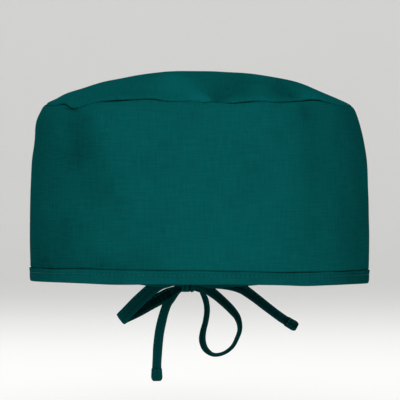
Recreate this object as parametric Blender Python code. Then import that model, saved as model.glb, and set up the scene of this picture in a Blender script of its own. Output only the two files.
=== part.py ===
"""Tie-back theatre cap of woven cloth, worn to shape, its two ties in a bow at the nape.

Metres, +Z up. The origin is the middle of the head opening, level with the rim. The forehead faces -Y.
Azimuth is measured in degrees from the forehead, positive towards +X; 180 is the nape.
"Up the cloth" is the distance from the rim along the cap's surface, in millimetres.
"""

import math

import bmesh
import bpy
import numpy as np
from mathutils import Vector

MM = 0.001

# Cloth and tape, in millimetres
WALL = 1.2
GAP = 0.3
BINDING_HEIGHT = 7.2
BINDING_THICKNESS = 2.0
BINDING_PROUD = 0.4
TAPE_WIDTH = 7.0
TAPE_THICKNESS = 1.5
SKIRT = 4.0
SKIRT_INSET = 2.5

# Roundness of the plan, as superellipse exponents: a flat forehead, a rounder back
FRONT_EXPONENT = 2.7
BACK_EXPONENT = 2.2

# The cap's girth at each height. The seam of the crown runs at the row with height 92 in front.
SECTION_COLUMNS = ("height", "half_width", "front_depth", "back_depth")
SECTIONS = (
    (0.0, 88.0, 95.0, 103.0),
    (22.0, 88.3, 95.5, 106.5),
    (45.0, 88.0, 95.3, 109.0),
    (62.0, 87.3, 94.5, 109.0),
    (71.0, 86.0, 93.6, 107.5),
    (80.0, 84.0, 92.2, 104.0),
    (86.5, 82.0, 90.8, 99.5),
    (92.0, 79.6, 89.0, 94.0),
    (95.6, 73.0, 82.5, 88.0),
    (99.5, 62.5, 71.5, 79.0),
    (103.2, 52.0, 59.5, 66.5),
    (105.4, 41.5, 48.0, 54.5),
    (107.4, 30.5, 35.5, 40.5),
    (108.7, 19.5, 22.5, 26.0),
    (109.4, 9.0, 10.5, 12.0),
    (109.6, 0.0, 0.0, 0.0),
)

# Height of the seam between band and crown, round the cap
SEAM_COLUMNS = ("azimuth", "height")
SEAM = (
    (-153, 13.0),
    (-140, 34.0),
    (-125, 60.0),
    (-110, 81.0),
    (-92, 91.3),
    (-60, 91.5),
    (-45, 90.2),
    (-33, 91.9),
    (-20, 93.0),
    (-8, 92.1),
    (1.5, 91.2),
    (10, 92.3),
    (29, 92.9),
    (42, 93.0),
    (55, 92.5),
    (92, 91.3),
    (110, 81.0),
    (125, 60.0),
    (140, 34.0),
    (153, 13.0),
)

# Soft folds and dents: a line from one plan point to another, its half width at each end, its relief
FOLD_COLUMNS = ("x0", "y0", "x1", "y1", "width0", "width1", "relief")
CROWN_FOLDS = (
    (3, -90, -16, -48, 3.5, 10, 1.7),
    (6, -90, 24, -50, 3.5, 9, -1.9),
    (44, -74, 34, -52, 6, 8, -1.1),
    (-72, -46, -74, 4, 16, 18, 0.6),
    (68, -50, 72, 6, 10, 12, -0.9),
    (-60, -62, -44, -40, 4, 9, -0.9),
    (58, -60, 40, -36, 5, 10, 0.8),
    (20, 60, 8, 20, 12, 14, -1.0),
)
BAND_DENTS = (
    (-67, -68, -67, -68, 9, 9, -0.9),
    (71, -62, 71, -62, 8, 8, -0.8),
)

# The nape: the rim dips there, and the ties draw the hem into gathers
NAPE_DROP = 3.0
RIM_TILT = 0.7
GATHERS_FROM = 150.0
GATHER_PITCH = 8.0
GATHER_DEPTH = 1.8
GATHER_REACH = 62.0

# Where the band and the binding end, either side of the nape
BAND_END = 152.0

# Columns of the cloth meshes: wide steps round the head, fine ones at the nape
WIDE_STEP = 7.6
FINE_STEP = 2.4
BAND_ROWS = 8
CROWN_ROWS = 14

# The knot, and the tapes that leave it
KNOT_CENTRE = (-6.0, 107.5, -3.8)
KNOT_SIZE = (8.0, 7.8, 8.2)
NIP_WIDTH = 0.6
NIP_LENGTH = 9.0
SEGMENT = 4.5

# Routes of the tapes, chosen by hand, in millimetres. turn is how far the tape's width is turned from the
# line of sight (0 edge on, 90 face on), slant the way its width then points in the front view, from +X to +Z.
ROUTE_COLUMNS = ("x", "y", "z", "turn", "slant")
LOOP_LEFT = (
    (-10.4, 106.2, -2.4, 88, 96),
    (-15.5, 107.6, -1.6, 86, 106),
    (-21.5, 109.4, -3.0, 84, 125),
    (-27.3, 111.0, -7.2, 84, 132),
    (-33.6, 112.2, -13.0, 86, 134),
    (-39.0, 113.6, -18.5, 88, 130),
    (-42.2, 115.6, -21.8, 88, 128),
    (-43.0, 118.2, -22.7, 86, 128),
    (-41.0, 119.8, -21.6, 80, 126),
    (-36.4, 119.0, -19.4, 74, 122),
    (-30.4, 116.8, -16.2, 70, 120),
    (-24.2, 113.8, -12.8, 70, 118),
    (-18.0, 110.8, -9.4, 74, 114),
    (-10.4, 108.2, -5.4, 84, 104),
)
TAIL_LEFT = (
    (-10.4, 110.3, -5.6, 84, 104),
    (-14.0, 113.2, -8.4, 60, 130),
    (-16.8, 115.6, -12.8, 40, 156),
    (-18.6, 116.2, -17.2, 40, 166),
    (-20.4, 116.2, -23.4, 44, 170),
    (-21.9, 116.0, -30.0, 46, 174),
    (-22.8, 115.8, -37.0, 47, 176),
    (-23.2, 115.6, -43.6, 50, 178),
    (-23.4, 115.4, -49.6, 58, 180),
    (-23.3, 115.2, -56.4, 68, 182),
)
LOOP_RIGHT = (
    (-1.6, 110.4, -5.2, 84, 96),
    (1.6, 112.4, -8.4, 40, 150),
    (3.3, 114.2, -12.4, 26, 172),
    (4.0, 115.2, -17.6, 22, 180),
    (3.3, 115.8, -23.6, 22, 186),
    (1.9, 116.2, -29.6, 25, 188),
    (1.6, 116.4, -34.6, 28, 192),
    (3.4, 116.5, -39.2, 24, 222),
    (7.6, 116.5, -42.0, 14, 262),
    (12.8, 116.4, -41.3, 12, 290),
    (17.6, 116.2, -38.0, 13, 310),
    (20.4, 115.9, -33.2, 15, 326),
    (22.0, 115.4, -27.8, 18, 346),
    (20.8, 114.8, -22.0, 26, 380),
    (17.4, 114.0, -17.4, 34, 400),
    (13.0, 113.0, -13.0, 38, 406),
    (8.2, 111.8, -8.8, 42, 410),
    (3.4, 110.4, -5.6, 58, 424),
    (-1.6, 108.3, -3.6, 84, 440),
)
TAIL_RIGHT = (
    (-1.6, 106.2, -2.2, 88, 88),
    (6.0, 107.2, -2.2, 82, 86),
    (14.0, 108.8, -3.0, 68, 76),
    (22.4, 110.4, -5.6, 53, 64),
    (29.6, 111.6, -10.4, 48, 56),
    (36.4, 112.4, -15.7, 48, 54),
    (43.4, 112.8, -21.0, 50, 55),
    (49.0, 113.0, -24.7, 56, 57),
    (53.2, 113.0, -27.1, 62, 58),
)

# Colours as the photo shows them, linear
CLOTH_COLOUR = (0.0012, 0.088, 0.088, 1.0)
TAPE_COLOUR = (0.0010, 0.078, 0.078, 1.0)
CLOTH_ROUGHNESS = 0.85


def clamp(value, low=0.0, high=1.0):
    return max(low, min(high, value))


def ease(value):
    value = clamp(value)
    return value * value * (3 - 2 * value)


def through(places, values, at):
    """A smooth curve through a short table: cubic pieces whose slopes follow the neighbours."""
    last = len(places) - 1
    i = int(clamp(np.searchsorted(places, at, side="right") - 1, 0, last - 1))
    slopes = []
    for k in (i, i + 1):
        a, b = max(k - 1, 0), min(k + 1, last)
        slopes.append((values[b] - values[a]) / (places[b] - places[a]))
    span = places[i + 1] - places[i]
    u = clamp((at - places[i]) / span)
    start = (1 + 2 * u) * (1 - u) ** 2 * values[i] + u * (1 - u) ** 2 * span * slopes[0]
    end = u * u * (3 - 2 * u) * values[i + 1] - u * u * (1 - u) * span * slopes[1]
    return start + end


HEIGHTS, HALF_WIDTHS, FRONTS, BACKS = (list(column) for column in zip(*SECTIONS))
UPS = [0.0]
for lower, upper in zip(SECTIONS, SECTIONS[1:]):
    UPS.append(UPS[-1] + math.hypot(upper[0] - lower[0], upper[1] - lower[1]))
TOP = UPS[-1]


def seam_height(azimuth):
    return through([row[0] for row in SEAM], [row[1] for row in SEAM], clamp(azimuth, -153, 153))


def up_to(height):
    return float(np.interp(height, HEIGHTS, UPS))


def plan(azimuth, half_width, front, back):
    """A point of the egg-shaped plan: flat in front, rounder behind."""
    across, along = math.sin(math.radians(azimuth)), -math.cos(math.radians(azimuth))
    depth, exponent = (front, FRONT_EXPONENT) if along < 0 else (back, BACK_EXPONENT)
    if half_width < 1e-6:
        return 0.0, 0.0
    reach = (abs(across) / half_width) ** exponent + (abs(along) / depth) ** exponent
    radius = reach ** (-1 / exponent)
    return radius * across, radius * along


def smooth_point(azimuth, up):
    """The cap's outer surface before folds, in millimetres."""
    half_width = through(UPS, HALF_WIDTHS, up)
    x, y = plan(azimuth, max(half_width, 0.0), through(UPS, FRONTS, up), through(UPS, BACKS, up))
    turned = abs((azimuth + 180) % 360 - 180)
    dip = NAPE_DROP * ease((turned - 120) / 50) + RIM_TILT * math.sin(math.radians(azimuth))
    return Vector((x, y, through(UPS, HEIGHTS, up) - dip * (1 - ease(up / 60))))


def normal(azimuth, up):
    """Unit vector out of the cloth."""
    if up > TOP - 4:
        return Vector((0, 0, 1))
    along = smooth_point(azimuth + 0.5, up) - smooth_point(azimuth - 0.5, up)
    rising = smooth_point(azimuth, min(up + 0.5, TOP)) - smooth_point(azimuth, up - 0.5)
    return along.cross(rising).normalized()


def fold(x, y, row):
    """Relief of one fold at a plan point: a soft ridge or valley along a line."""
    x0, y0, x1, y1, width0, width1, relief = row
    run = math.hypot(x1 - x0, y1 - y0)
    share = ((x - x0) * (x1 - x0) + (y - y0) * (y1 - y0)) / (run * run) if run else 0.0
    near = clamp(share)
    away = math.hypot(x - x0 - near * (x1 - x0), y - y0 - near * (y1 - y0))
    width = width0 + near * (width1 - width0)
    return relief * math.exp(-((away / width) ** 2))


def gathers(azimuth, up):
    """Pleats that the ties draw into the nape, always inwards."""
    turned = abs((azimuth + 180) % 360 - 180)
    strength = ease((turned - GATHERS_FROM) / 10) * (1 - ease(up / GATHER_REACH))
    wave = math.cos(math.radians(360 * (turned - 180) / GATHER_PITCH))
    return -GATHER_DEPTH * strength * (1 - wave) / 2


def cloth_point(azimuth, up, inset=0.0):
    """A point of the folded cloth, moved inwards by inset."""
    point = smooth_point(azimuth, up)
    seam = up_to(seam_height((azimuth + 180) % 360 - 180))
    if up > seam:
        fade = ease((up - seam) / 6)
        relief = fade * sum(fold(point.x, point.y, row) for row in CROWN_FOLDS)
    else:
        fade = ease((seam - up) / 12) * ease(up / 20)
        relief = fade * sum(fold(point.x, point.y, row) for row in BAND_DENTS)
    relief += gathers(azimuth, up)
    return point + normal(azimuth, up) * (relief - inset)


def azimuths():
    """Columns from one side of the nape round the forehead to the other, then across the nape."""
    half = int(BAND_END / WIDE_STEP)
    wide = [BAND_END * i / half for i in range(-half, half + 1)]
    count = round((360 - 2 * BAND_END) / FINE_STEP)
    fine = [BAND_END + (360 - 2 * BAND_END) * i / count for i in range(1, count)]
    return wide, fine


def material(name, colour, roughness):
    made = bpy.data.materials.new(name)
    made.use_nodes = True
    shader = made.node_tree.nodes["Principled BSDF"]
    shader.inputs["Base Color"].default_value = colour
    shader.inputs["Roughness"].default_value = roughness
    shader.inputs["Metallic"].default_value = 0.0
    return made


def grid_object(name, columns, closed, look, wall=None, apex=None):
    """A sheet through columns of points, given its thickness inwards.

    The quads start at another corner on the left, so that they split into triangles as on the right.
    """
    shape = bmesh.new()
    made = [[shape.verts.new(point * MM) for point in column] for column in columns]
    pairs = list(zip(made, made[1:] + made[:1])) if closed else list(zip(made, made[1:]))
    tip = shape.verts.new(apex * MM) if apex else None
    for left, right in pairs:
        for low in range(len(left) - 1):
            corners = [left[low], right[low], right[low + 1], left[low + 1]]
            if left[low].co.x + right[low].co.x < 0:
                corners.append(corners.pop(0))
            shape.faces.new(corners)
        if tip:
            shape.faces.new((left[-1], right[-1], tip))
    mesh = bpy.data.meshes.new(name)
    shape.to_mesh(mesh)
    shape.free()
    mesh.materials.append(look)
    mesh.shade_smooth()
    made_object = bpy.data.objects.new(name, mesh)
    bpy.context.collection.objects.link(made_object)
    if wall:
        thickness = made_object.modifiers.new("Wall", "SOLIDIFY")
        thickness.thickness = wall * MM
        thickness.offset = -1.0
    return made_object


def front_panel(look):
    """The upright band, from just above the binding to the seam."""
    columns = []
    for azimuth in azimuths()[0]:
        low = BINDING_HEIGHT + GAP
        high = up_to(seam_height(azimuth))
        rows = [low + (high - low) * row / BAND_ROWS for row in range(BAND_ROWS + 1)]
        columns.append([cloth_point(azimuth, up) for up in rows])
    return grid_object("front_panel", columns, False, look, WALL)


def crown_column(azimuth):
    """The crown from its tucked skirt, or its hem at the nape, up to the apex."""
    turned = abs((azimuth + 180) % 360 - 180)
    seam = up_to(seam_height((azimuth + 180) % 360 - 180))
    into_nape = ease((turned - 138) / 9)
    low = (seam - SKIRT) * (1 - into_nape) + GAP * into_nape
    hidden = 1 - ease((turned - BAND_END - 1.5) / 12)
    points = [cloth_point(azimuth, low, SKIRT_INSET * hidden)]
    points.append(cloth_point(azimuth, seam, SKIRT_INSET * hidden))
    for row in range(1, CROWN_ROWS):
        up = seam + (TOP - seam) * row / CROWN_ROWS
        tucked = 1 - ease((up - seam) / 6)
        points.append(cloth_point(azimuth, up, SKIRT_INSET * hidden * tucked))
    return points


def crown_panel(look):
    wide, fine = azimuths()
    columns = [crown_column(azimuth) for azimuth in wide + fine]
    return grid_object("crown_panel", columns, True, look, WALL, smooth_point(0, TOP))


def rim_binding(look):
    """Folded tape round the rim, a little proud of the band above it."""
    outer, inner = BINDING_PROUD, BINDING_PROUD - BINDING_THICKNESS
    bevel = 0.5
    profile = (
        (outer, bevel),
        (outer, BINDING_HEIGHT - bevel),
        (outer - bevel, BINDING_HEIGHT),
        (inner + bevel, BINDING_HEIGHT),
        (inner, BINDING_HEIGHT - bevel),
        (inner, bevel),
        (inner + bevel, 0.0),
        (outer - bevel, 0.0),
    )
    rings = []
    for azimuth in azimuths()[0]:
        rings.append([cloth_point(azimuth, up, -proud) for proud, up in profile])
    return tube_object("rim_binding", rings, look)


def tube_object(name, rings, look):
    """A closed solid through a row of rings, its two ends filled."""
    shape = bmesh.new()
    made = [[shape.verts.new(point * MM) for point in ring] for ring in rings]
    for near, far in zip(made, made[1:]):
        for i in range(len(near)):
            j = (i + 1) % len(near)
            shape.faces.new((near[i], near[j], far[j], far[i]))
    shape.faces.new(made[0])
    shape.faces.new(made[-1])
    bmesh.ops.recalc_face_normals(shape, faces=shape.faces)
    mesh = bpy.data.meshes.new(name)
    shape.to_mesh(mesh)
    shape.free()
    mesh.materials.append(look)
    mesh.shade_smooth()
    mesh.set_sharp_from_angle(angle=math.radians(50))
    made_object = bpy.data.objects.new(name, mesh)
    bpy.context.collection.objects.link(made_object)
    return made_object


def smooth_route(rows, step=SEGMENT):
    """Points about a step apart on one smooth curve through a route's rows, with turn and slant."""
    places = [0.0]
    for a, b in zip(rows, rows[1:]):
        places.append(places[-1] + math.dist(a[:3], b[:3]))
    count = max(4, round(places[-1] / step))
    columns = [list(column) for column in zip(*rows)]
    at = [places[-1] * i / count for i in range(count + 1)]
    return [[through(places, column, place) for column in columns] for place in at]


def tape(name, rows, look, nips):
    """A flat tape along a route. It narrows where it enters the knot, at the ends that nips names."""
    route = smooth_route(rows)
    centres = [Vector(row[:3]) for row in route]
    length = sum((b - a).length for a, b in zip(centres, centres[1:]))
    done = 0.0
    rings = []
    for i, row in enumerate(route):
        before, after = centres[max(i - 1, 0)], centres[min(i + 1, len(route) - 1)]
        tangent = (after - before).normalized()
        if (i == 0 and nips[0]) or (i == len(route) - 1 and nips[1]):
            tangent = Vector((math.copysign(1, tangent.x), 0, 0))
        turn, slant = math.radians(row[3]), math.radians(row[4])
        wide = Vector((math.sin(turn) * math.cos(slant), math.cos(turn), math.sin(turn) * math.sin(slant)))
        wide = (wide - tangent * wide.dot(tangent)).normalized()
        thick = tangent.cross(wide)
        done += (centres[i] - centres[i - 1]).length if i else 0.0
        ends = [away for away, nipped in zip((done, length - done), nips) if nipped]
        free = ease(min(ends) / NIP_LENGTH) if ends else 1.0
        half = TAPE_WIDTH / 2 * (NIP_WIDTH + (1 - NIP_WIDTH) * free)
        edge, rise = half - TAPE_THICKNESS / 3, TAPE_THICKNESS / 2
        corners = ((half, 0), (edge, rise), (-edge, rise), (-half, 0), (-edge, -rise), (edge, -rise))
        rings.append([centres[i] + wide * u + thick * v for u, v in corners])
    return tube_object(name, rings, look)


def tie_lead(name, side, look):
    """The binding's tape running on from its end, across the nape hem, to the knot."""
    start = BAND_END + 0.45
    knot_side = KNOT_CENTRE[0] + side * (KNOT_SIZE[0] / 2 + GAP)
    end = 180 - math.degrees(math.atan2(side * knot_side, SECTIONS[0][3]))
    rings = []
    count = 12
    for i in range(count + 1):
        share = i / count
        azimuth = start + (end - start) * share
        outwards = BINDING_PROUD - TAPE_THICKNESS + (TAPE_THICKNESS + GAP * 0.4) * ease(share / 0.3)
        inner, outer = outwards, outwards + TAPE_THICKNESS
        low = 0.1 - 2.2 * ease(share)
        ring = []
        for proud, up in ((inner, low), (outer, low), (outer, low + TAPE_WIDTH), (inner, low + TAPE_WIDTH)):
            point = smooth_point(side * azimuth, max(up, 0.0))
            point.z += min(up, 0.0)
            ring.append(point + normal(side * azimuth, 3.0) * proud)
        rings.append(ring)
    return tube_object(name, rings, look)


def bow_knot(look):
    """The knot: a rounded block that the tapes leave on both sides."""
    shape = bmesh.new()
    bmesh.ops.create_cube(shape, size=1.0)
    bmesh.ops.scale(shape, vec=Vector(KNOT_SIZE) * MM, verts=shape.verts)
    bmesh.ops.bevel(shape, geom=shape.edges[:], offset=1.6 * MM, segments=2, affect="EDGES", profile=0.5)
    bmesh.ops.translate(shape, vec=Vector(KNOT_CENTRE) * MM, verts=shape.verts)
    mesh = bpy.data.meshes.new("bow_knot")
    shape.to_mesh(mesh)
    shape.free()
    mesh.materials.append(look)
    mesh.shade_smooth()
    made_object = bpy.data.objects.new("bow_knot", mesh)
    bpy.context.collection.objects.link(made_object)
    return made_object


def main():
    for old in list(bpy.data.objects):
        bpy.data.objects.remove(old, do_unlink=True)
    cloth = material("Cap cloth", CLOTH_COLOUR, CLOTH_ROUGHNESS)
    tape_cloth = material("Folded tape", TAPE_COLOUR, CLOTH_ROUGHNESS)
    front_panel(cloth)
    crown_panel(cloth)
    rim_binding(tape_cloth)
    tie_lead("tie_lead_left", -1, tape_cloth)
    tie_lead("tie_lead_right", 1, tape_cloth)
    bow_knot(tape_cloth)
    tape("bow_loop_left", LOOP_LEFT, tape_cloth, (True, True))
    tape("bow_loop_right", LOOP_RIGHT, tape_cloth, (True, True))
    tape("tie_tail_left", TAIL_LEFT, tape_cloth, (True, False))
    tape("tie_tail_right", TAIL_RIGHT, tape_cloth, (True, False))


main()
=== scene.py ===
"""Tie-back theatre cap: the finish of its cloth, its sewn tapes, its bow and their stitches.

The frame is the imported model's: metres, +Z up, the origin in the middle of the head opening, the forehead
towards -Y. Sizes are in millimetres and angles in degrees, unless a comment says otherwise. Azimuth is
measured from the forehead, positive towards +X, and "up the cloth" is the distance from the rim along
the cap's surface.
"""

import math
from types import SimpleNamespace

import bpy
import numpy as np
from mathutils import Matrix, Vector


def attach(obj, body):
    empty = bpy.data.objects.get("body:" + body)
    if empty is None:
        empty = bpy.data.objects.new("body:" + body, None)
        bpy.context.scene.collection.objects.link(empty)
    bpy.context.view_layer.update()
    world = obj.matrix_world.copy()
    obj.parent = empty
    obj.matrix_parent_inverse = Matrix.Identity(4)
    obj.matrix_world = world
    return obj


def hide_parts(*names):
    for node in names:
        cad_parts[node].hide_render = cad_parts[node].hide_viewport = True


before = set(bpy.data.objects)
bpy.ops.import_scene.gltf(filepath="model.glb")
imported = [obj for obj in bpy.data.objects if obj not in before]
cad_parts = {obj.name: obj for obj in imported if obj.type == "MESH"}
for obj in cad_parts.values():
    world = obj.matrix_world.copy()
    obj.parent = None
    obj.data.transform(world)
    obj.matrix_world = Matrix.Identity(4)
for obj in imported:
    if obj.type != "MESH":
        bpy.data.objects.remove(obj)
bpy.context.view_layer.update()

MM = 0.001

# Camera, its place in metres: level with the middle of the band, far off, as the photograph was taken
CAMERA_PLACE = (0.00026, -2.6, 0.0424)
CAMERA_LENS = 448.0

# Studio, in metres: a round paper floor with a curved edge, two soft lights in watts, and the even fill
FLOOR = -0.075
FLOOR_RINGS = (0.4, 1.2, 2.4, 4.0, 5.6)
FLOOR_EDGE_CURVE = 1.4
FLOOR_EDGE_STEPS = 12
FLOOR_SIDES = 96
SOFTBOX_AIM = (0, 0, 0.05)
SOFTBOX_SIZE = 1.5
SOFTBOXES = (
    ("Front softbox", (0.1, -3.0, 0.55), 66),
    ("Overhead softbox", (-0.4, 1.0, 2.4), 30),
)
FILL = 0.48

# Colours: the lighter and the deeper shade of each dyed cloth (the ties' pair is the same cloth painted
# darker, as painted shade), the painted shade of all three deep in a hollow, the fuzz of their fibres, and
# the two tints between which thread and paper vary
CLOTH_DYE = ("#054E4E", "#033939")
TAPE_DYE = ("#054A4A", "#033535")
SHADED_TIE_DYE = ("#053F3F", "#032D2D")
PAINTED_HOLLOW_SHADE = "#011414"
FUZZ = "#109494"
THREAD_DYE = ("#054B4B", "#065757")
PAPER_TINTS = ("#F3F3F1", "#F7F7F5")

# Sizes of the part's source
BINDING_HEIGHT = 7.2
BINDING_PROUD = 0.4
TAPE_WIDTH = 7.0
TAPE_THICKNESS = 1.5
SKIRT = 4.0
GAP = 0.3
BAND_END = 152.0
FRONT_EXPONENT = 2.7
BACK_EXPONENT = 2.2
NAPE_DROP = 3.0
NAPE_DROP_FROM = 120.0
NAPE_DROP_OVER = 50.0
RIM_TILT = 0.7
RIM_SHAPE_REACH = 60.0
GATHERS_FROM = 150.0
GATHERS_OVER = 10.0
GATHER_DEPTH = 1.8
GATHER_REACH = 62.0
KNOT_CENTRE = (-6.0, 107.5, -3.8)
KNOT_SIZE = (8.0, 7.8, 8.2)
NIP_WIDTH = 0.6
NIP_LENGTH = 9.0

# The cloth as it is seen
CLOTH_WALL = 0.7
TAPE_FOLDED = 1.1
TIP_FOLD = 7.0
TIP_CORNER = 2.8

# Real threads lie about 0.3 mm apart, finer than the render can show, so the weave is drawn coarser.
# In its relief the crossing of threads counts by a share, and slubs count in full
WEAVE_PITCH = 0.9
WEAVE_DEPTH = 0.08
WEAVE_CROSSING = 0.4

# Slubs, as noise per metre: about 11 mm long along their thread, and 1 mm wide
SLUB_LENGTHWAYS = 90.0
SLUB_CROSSWAYS = 1100.0

# Stitches. One may lean from its row by so many radians. The hem row's step, and its start past the
# band's end, are in degrees, and places across a tape are in shares of its half width
STITCH_PITCH = 2.3
STITCH_LENGTH = 1.75
THREAD = 0.32
STITCH_LEAN = 0.09
RIM_STITCH_UP = 4.9
HEM_STITCH_UP = 9.6
HEM_STITCH_STEP = 1.18
HEM_STITCH_INSET = 3.5
HEM_STITCH_SUNK = 0.22
HEM_STITCH_TUCKED = 0.95
HEM_STITCH_LIFT = 0.08
TAPE_STITCH_ACROSS = 0.62
TIE_STITCH_START = 2.4
TIE_STITCH_STOP = 1.2
TIP_STITCHES_ACROSS = (-0.62, 0.0, 0.6)
TIP_STITCHES_BEYOND_FOLD = 1.4
KNOT_CLEAR = 1.0

# How high stitches sit on a tie's face: a share of its half thickness, and a lift. The edge's lie in a groove
EDGE_STITCH_SEAT = (0.66, 0.02)
TIP_STITCH_SEAT = (0.98, 0.0)

# Degrees from the forehead where the crown comes out from behind the band, and how many it takes
CLEAR_OF_BAND = BAND_END + 0.3
CLEAR_OVER = 4.0

# The crown's tucked edge turns into the nape hem over these degrees from the forehead
INTO_NAPE_FROM = 138.0
INTO_NAPE_OVER = 9.0

# Gathers of the nape, a little finer than the solids': their pitch in degrees, how they stray from an even
# row (columns: size, frequency, shift to either side), their lean as they rise, and how sharp they are
GATHER_PITCH = 8.0 / 1.15
GATHER_STRAYS = (
    (0.9, 0.43, 1.3),
    (0.6, 0.9, 1.0),
)
GATHER_LEAN = 0.012
GATHER_SHARPNESS = 1.4

# How many points distances round the cap are measured by, and how far up the cloth that is done for the
# places of the band's weave
GIRTH_STEPS = 5401
GIRTH_UP = 30.0

# Small steps, in millimetres and degrees, by which directions on the cloth are found
NORMAL_STEP = 0.5
RIM_ROW_STEP = 0.2
HEM_ROW_STEP = 0.3

# How far relief takes to start or end, from the seam, from the rim and from the top's middle
FOLD_FADE = 4.0
CREASE_FADE = 40.0
RIPPLE_FADE = 12.0
DENT_FADE = 12.0
DENT_FADE_AT_RIM = 20.0

# Near the top's middle the cloth counts as level: from this distance on, over this stretch
TOP_LEVEL_FROM = 8.0
TOP_LEVEL_OVER = 4.0

# Tones of painted shade and painted highlight are set for the front. They fade out over a stretch of y that
# ends behind the middle
PAINTED_TONES_END = 20.0
PAINTED_TONES_FADE = 40.0

# Small waves of the cloth. A tie's width varies by a share of itself. Columns: size, wavelength, seed
CROWN_RIPPLES = (
    (0.22, 46, 3),
    (0.08, 17, 4),
)
BAND_RIPPLES = (
    (0.12, 60, 5),
    (0.05, 19, 6),
)
BINDING_RIPPLES = (
    (0.16, 34, 8),
    (0.06, 11, 9),
)
BINDING_EDGE_RIPPLES = ((0.16, 26, 10),)
TIE_WIDTH_RIPPLES = ((0.025, 15, 12),)
TIE_CUP_RIPPLES = ((0.35, 38, 13),)

# The cap's plan at each height: half its width, and its depth in front of the middle and behind it
# Columns: height, half_width, front_depth, back_depth
SECTIONS = (
    (0.0, 88.0, 95.0, 103.0),
    (22.0, 88.3, 95.5, 106.5),
    (45.0, 88.0, 95.3, 109.0),
    (62.0, 87.3, 94.5, 109.0),
    (71.0, 86.0, 93.6, 107.5),
    (80.0, 84.0, 92.2, 104.0),
    (86.5, 82.0, 90.8, 99.5),
    (92.0, 79.6, 89.0, 94.0),
    (95.6, 73.0, 82.5, 88.0),
    (99.5, 62.5, 71.5, 79.0),
    (103.2, 52.0, 59.5, 66.5),
    (105.4, 41.5, 48.0, 54.5),
    (107.4, 30.5, 35.5, 40.5),
    (108.7, 19.5, 22.5, 26.0),
    (109.4, 9.0, 10.5, 12.0),
    (109.6, 0.0, 0.0, 0.0),
)

# Where the band meets the crown, round the cap
SEAM_COLUMNS = ("azimuth", "height")
SEAM = (
    (-153, 13.0),
    (-140, 34.0),
    (-125, 60.0),
    (-110, 81.0),
    (-92, 91.3),
    (-70, 90.4),
    (-56, 89.9),
    (-49, 90.4),
    (-44.4, 88.5),
    (-40.6, 88.8),
    (-36.4, 90.5),
    (-32.5, 91.7),
    (-25.7, 92.2),
    (-15.9, 92.7),
    (-9.5, 91.6),
    (-4.7, 91.8),
    (-0.8, 92.0),
    (1.6, 90.8),
    (4.5, 91.5),
    (10.5, 90.6),
    (13.5, 91.1),
    (20.1, 92.0),
    (24.3, 91.3),
    (33, 91.9),
    (38, 92.6),
    (42, 92.5),
    (46, 91.6),
    (50, 90.4),
    (56, 89.8),
    (72, 90.4),
    (92, 91.3),
    (110, 81.0),
    (125, 60.0),
    (140, 34.0),
    (153, 13.0),
)

# Soft folds of the crown and dents of the band, placed as they are seen from above
# Columns: x0, y0, x1, y1, width0, width1, relief
CROWN_FOLDS = (
    (2, -91, -18, -50, 4, 10, 2.2),
    (9, -90, 24, -50, 4, 9, -2.0),
    (32, -86, 30, -62, 4, 7, 0.8),
    (44, -74, 34, -52, 6, 8, -1.1),
    (-72, -46, -74, 4, 16, 18, 0.6),
    (68, -50, 72, 6, 10, 12, -0.9),
    (-60, -62, -44, -40, 4, 9, -0.9),
    (58, -60, 40, -36, 5, 10, 0.8),
    (20, 60, 8, 20, 12, 14, -1.0),
)
BAND_DENTS = (
    (-67, -68, -67, -68, 9, 9, -0.9),
    (71, -62, 71, -62, 8, 8, -0.8),
)

# The cap's corners, where a side bulges a little or falls in
# Columns: azimuth, height, half_width in degrees, half_height, relief
SHOULDERS = (
    (-88, 83.5, 26, 8, 1.9),
    (-84, 94.0, 26, 2.2, -1.2),
    (88, 92.5, 24, 3.0, -1.1),
)

# Finer creases, placed as they are seen from the front
# Columns: x0, z0, x1, z1, width0, width1, relief
CROWN_CREASES = (
    (-25, 94.6, -2, 94.8, 0.9, 0.9, -0.3),
    (2.0, 96.5, 3.6, 92.0, 0.7, 0.9, -0.6),
)
BAND_CREASES = (
    (3.5, 91.4, 18.0, 87.4, 0.8, 2.2, 0.35),
    (3.5, 89.8, 16.0, 85.6, 0.8, 2.2, -0.25),
    (-52, 85, -42, 47, 6, 9, 0.7),
    (-63, 84, -54, 48, 7, 9, -0.8),
    (49, 86, 47, 50, 6, 9, 0.6),
    (60, 84, 58, 50, 7, 9, -0.7),
    (-49.6, 8.8, -49.3, 14.5, 0.9, 0.9, -0.35),
    (-66, 89, -58, 83, 2.0, 4.0, -0.5),
)

# Painted shade in the hollows of folds, and painted highlight, paler, along their crests
# Columns: x0, z0, x1, z1, width0, width1, painted shade (below 0 a painted highlight)
CROWN_PAINTED_TONES = (
    (-71, 91.4, -68.5, 90.8, 0.9, 0.9, 0.50),
    (-0.5, 95.5, -12, 101.5, 4, 7, -0.40),
    (-12, 101, -19, 98, 5, 7, -0.15),
    (9, 96, 19, 101, 4.5, 8, 0.30),
    (30, 95.5, 33, 97.5, 4, 5, -0.15),
    (-3, 94.8, 5, 92.8, 2.2, 1.6, -0.40),
    (47, 95.6, 40, 100, 3.2, 5, 0.45),
    (55, 94.5, 60, 94, 4, 4, -0.20),
)
BAND_PAINTED_TONES = (
    (-68.5, 89.2, -62.5, 88.2, 0.7, 0.7, 0.55),
    (-66, 87, -60, 84, 2.0, 3.0, 0.12),
    (-63, 79, -61, 66, 7, 9, 0.36),
    (-60, 66, -50, 48, 8, 10, 0.22),
    (-54, 42, -64, 28, 13, 16, 0.14),
    (-66, 22, -56, 6, 12, 14, 0.14),
    (-78, 8, -24, 8, 8, 8, 0.26),
    (-82, 80, -82, 10, 12, 12, 0.28),
    (52, 90.2, 53, 87, 1.3, 2.4, 0.30),
    (56, 85, 58, 60, 7, 9, 0.20),
    (58, 60, 58, 12, 9, 12, 0.15),
    (82, 85, 82, 10, 12, 12, 0.40),
)
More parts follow.
